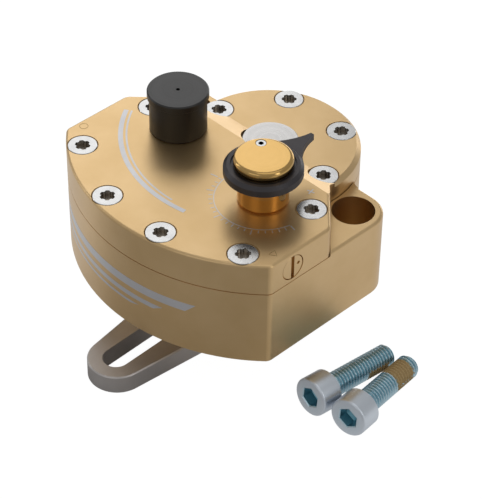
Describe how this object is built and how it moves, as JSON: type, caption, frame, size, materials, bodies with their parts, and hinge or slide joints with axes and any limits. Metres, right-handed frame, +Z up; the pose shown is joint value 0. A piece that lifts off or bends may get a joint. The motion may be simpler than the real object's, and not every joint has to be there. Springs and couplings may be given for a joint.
{
  "type": "motorcycle steering damper",
  "caption": "Rotary steering damper: two-part aluminium body with an oil vane chamber, click-adjusted valve, oil reservoir, mounting ears and a slotted link arm on a splined shaft.",
  "frame": {"origin": "on the shaft axis, midway between the two mounting holes, on the underside of the body", "axes": "+Z up along the shaft, towards the cover; +Y towards the round tail, so the curved nose and the link arm point along -Y; +X towards the adjuster knob's side"},
  "size_m": [0.1256, 0.1091, 0.0767],
  "materials": {
    "body_gold": "satin gold anodised, fine machining marks",
    "collar_amber": "polished amber anodised",
    "pointer_black": "satin black anodised",
    "reservoir_black": "matt black anodised",
    "screw_steel": "bright stainless",
    "shaft_steel": "turned, hard chromed",
    "arm_grey": "hard anodised, machined",
    "bolt_zinc": "bright zinc with a blue tint",
    "spring_steel": "plain",
    "seal_rubber": "matt",
    "bush_bronze": "turned bronze",
    "inner_brass": "turned brass"
  },
  "bodies": {
    "damper_body": {"housing": "body_gold", "cover": "body_gold", "cover_seal": "seal_rubber", "cover_screws": "screw_steel", "dowel_pins": "screw_steel", "upper_bush": "bush_bronze", "lower_bush": "bush_bronze", "upper_shaft_seal": "seal_rubber", "lower_shaft_seal": "seal_rubber", "seal_circlip": "spring_steel", "base_valve_collar": "collar_amber", "collar_seal": "seal_rubber", "reservoir_tube": "reservoir_black", "reservoir_seal": "seal_rubber", "reservoir_cap": "reservoir_black", "mounting_bolts": "bolt_zinc"},
    "rotor": {"shaft": "shaft_steel", "vane": "shaft_steel", "vane_seal": "seal_rubber", "vane_screws": "screw_steel", "link_arm": "arm_grey", "pinch_screw": "screw_steel"},
    "adjuster": {"base_knob": "body_gold", "pointer_ring": "pointer_black", "knob_set_screw": "screw_steel", "detent_ball": "spring_steel", "detent_spring": "spring_steel"},
    "needle": {"base_needle": "inner_brass"},
    "right_sweep": {"right_sweep_valve": "body_gold", "right_sweep_seal": "seal_rubber"},
    "left_sweep": {"left_sweep_valve": "body_gold", "left_sweep_seal": "seal_rubber"},
    "oil_piston": {"reservoir_piston": "inner_brass", "piston_seal": "seal_rubber", "reservoir_spring": "spring_steel"}
  },
  "joints": [
    {"name": "rotor_turn", "type": "hinge", "parent": "damper_body", "child": "rotor", "pos_m": [0, 0, 0], "axis": [0, 0, 1], "range_deg": [-43, 40]},
    {"name": "adjuster_turn", "type": "hinge", "parent": "damper_body", "child": "adjuster", "pos_m": [0.0221, -0.0253, 0.05], "axis": [0, 0, 1], "range_deg": [-330, 330]},
    {"name": "needle_lift", "type": "slide", "parent": "damper_body", "child": "needle", "axis": [0, 0, 1], "range_m": [-0.00074, 0.00074]},
    {"name": "right_sweep_turn", "type": "hinge", "parent": "damper_body", "child": "right_sweep", "pos_m": [0.047, -0.03694, 0.0342], "axis": [1, 0, 0], "range_deg": [-90, 90]},
    {"name": "left_sweep_turn", "type": "hinge", "parent": "damper_body", "child": "left_sweep", "pos_m": [-0.047, -0.03694, 0.0342], "axis": [-1, 0, 0], "range_deg": [-90, 90]},
    {"name": "oil_piston_slide", "type": "slide", "parent": "damper_body", "child": "oil_piston", "axis": [0, 0, 1], "range_m": [0, 0.0035], "stiffness_N_per_m": 200, "springref_m": -0.003, "deforming": ["reservoir_spring"]}
  ],
  "couplings": [
    {"joint": "needle_lift", "follows": "adjuster_turn", "m_per_rad": 0.00012732}
  ]
}
